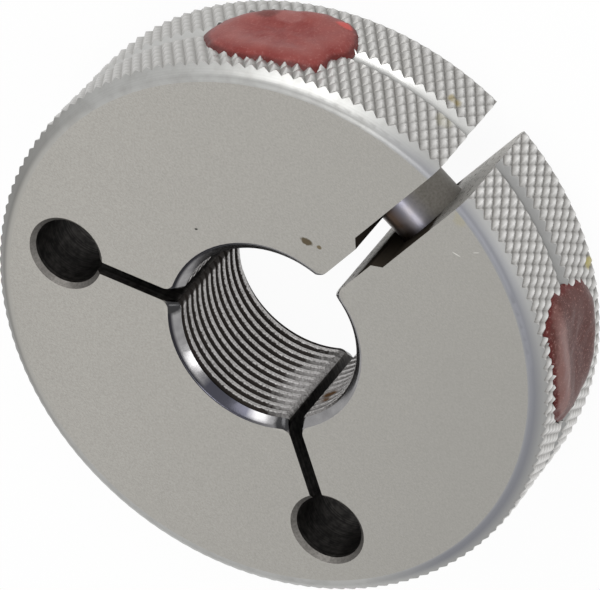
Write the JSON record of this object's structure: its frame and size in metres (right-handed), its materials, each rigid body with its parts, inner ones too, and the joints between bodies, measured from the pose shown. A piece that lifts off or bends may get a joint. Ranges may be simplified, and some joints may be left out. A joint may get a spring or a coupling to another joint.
{
  "type": "thread ring gauge",
  "caption": "Adjustable split ring gauge with a knurled, grooved rim, an internally threaded bore, relief slots and a wax-sealed locking device across the split.",
  "frame": {"origin": "where the bore's axis meets the back face, at the bottom of the ring as it lies flat", "axes": "+Z along the bore's axis, out of the front face; +X along the middle of the split, towards the rim"},
  "size_m": [0.0666, 0.0666, 0.0175],
  "materials": {
    "ring_steel": "ground faces, bright knurled rim",
    "sleeve_steel": "polished, hardened and lightly tinted by heat",
    "screw_steel": "dark oxide",
    "seal_wax": "dull red sealing wax"
  },
  "bodies": {
    "root": {"ring_body": "ring_steel", "sleeve": "sleeve_steel", "adjusting_screw": "screw_steel", "locking_screw": "screw_steel", "adjusting_screw_seal": "seal_wax", "locking_screw_seal": "seal_wax"}
  },
  "joints": []
}
